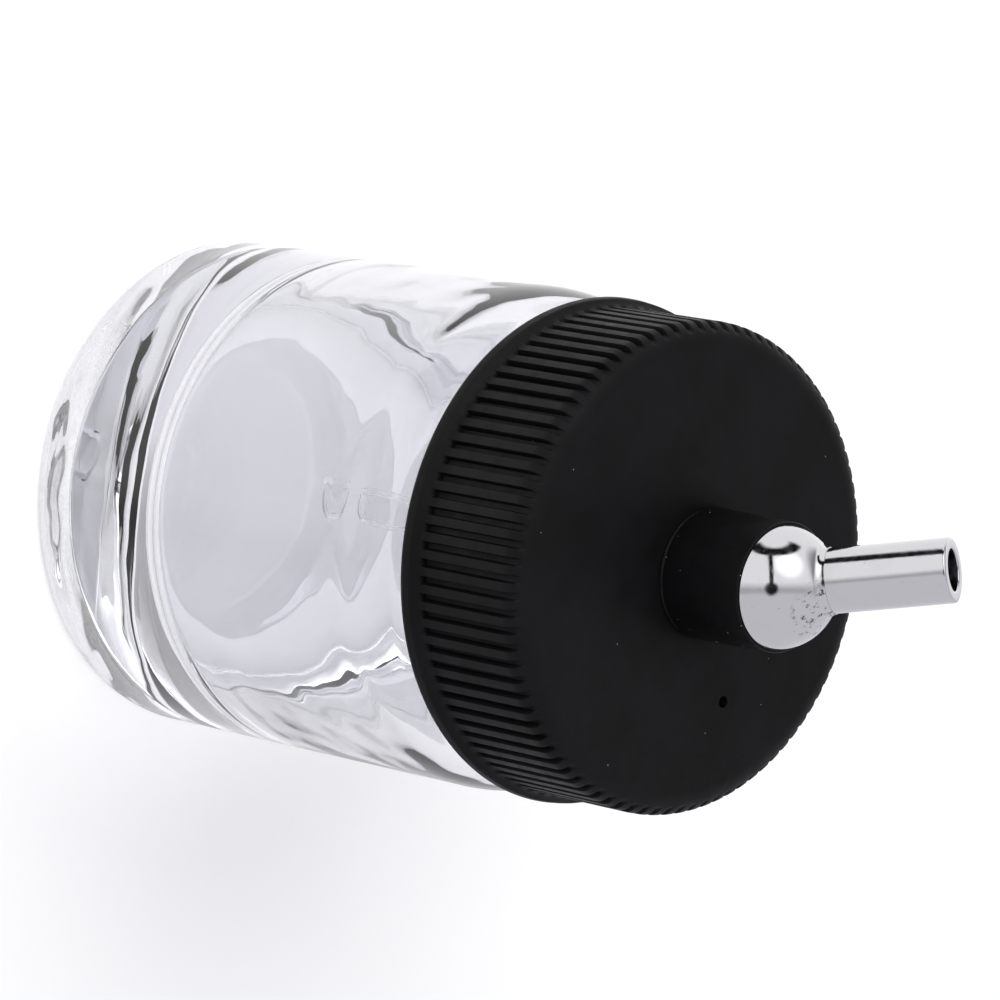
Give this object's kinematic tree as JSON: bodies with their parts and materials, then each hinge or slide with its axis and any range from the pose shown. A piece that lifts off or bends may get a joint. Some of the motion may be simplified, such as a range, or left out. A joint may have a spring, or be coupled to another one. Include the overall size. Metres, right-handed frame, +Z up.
{
  "type": "airbrush siphon jar",
  "caption": "Small glass paint jar with a ribbed screw cap, a swivelling ball elbow with a slanted spout, and a pickup tube, for a siphon-feed airbrush.",
  "frame": {"origin": "centre of the bottle's foot, on the surface that it stands on, on the axis of the bottle and the cap", "axes": "+Z up along the bottle's axis, +X towards the side that the spout leans to at rest, +Y completes a right-handed frame"},
  "size_m": [0.0342, 0.0342, 0.0647],
  "materials": {
    "clear_glass": "clear moulded glass, gloss",
    "cap_plastic": "black moulded plastic, fine satin grain",
    "liner_foam": "white closed foam",
    "collar_plastic": "black moulded plastic, smoother than the cap",
    "seal_rubber": "black nitrile rubber",
    "washer_steel": "plain steel",
    "nut_plastic": "black moulded plastic",
    "elbow_chrome": "bright chrome plate, a few pits near the spout",
    "spout_chrome": "bright chrome plate, fine lengthwise marks",
    "slip_plastic": "white low-friction plastic",
    "clear_tube": "clear soft plastic tube, slightly milky"
  },
  "bodies": {
    "jar": {"bottle": "clear_glass"},
    "seal": {"cap_liner": "liner_foam"},
    "lid": {"cap": "cap_plastic", "collar": "collar_plastic", "collar_gasket": "seal_rubber", "collar_washer": "washer_steel", "collar_nut": "nut_plastic"},
    "elbow": {"ball_elbow": "elbow_chrome", "spout_tube": "spout_chrome", "stem_o_ring": "seal_rubber", "stem_washer": "slip_plastic", "stem_clip": "washer_steel", "pickup_tube": "clear_tube"}
  },
  "joints": [
    {"name": "cap_rise", "type": "slide", "parent": "jar", "child": "seal", "axis": [0, 0, 1], "range_m": [0, 0.00367]},
    {"name": "cap_turn", "type": "hinge", "parent": "seal", "child": "lid", "pos_m": [0, 0, 0.045], "axis": [0, 0, 1], "range_deg": [0, 440]},
    {"name": "spout_swivel", "type": "hinge", "parent": "lid", "child": "elbow", "pos_m": [0.00076, -0.00048, 0.05], "axis": [0, 0, 1], "continuous": true}
  ],
  "couplings": [
    {"joint": "cap_rise", "follows": "cap_turn", "m_per_rad": 0.00047746}
  ]
}
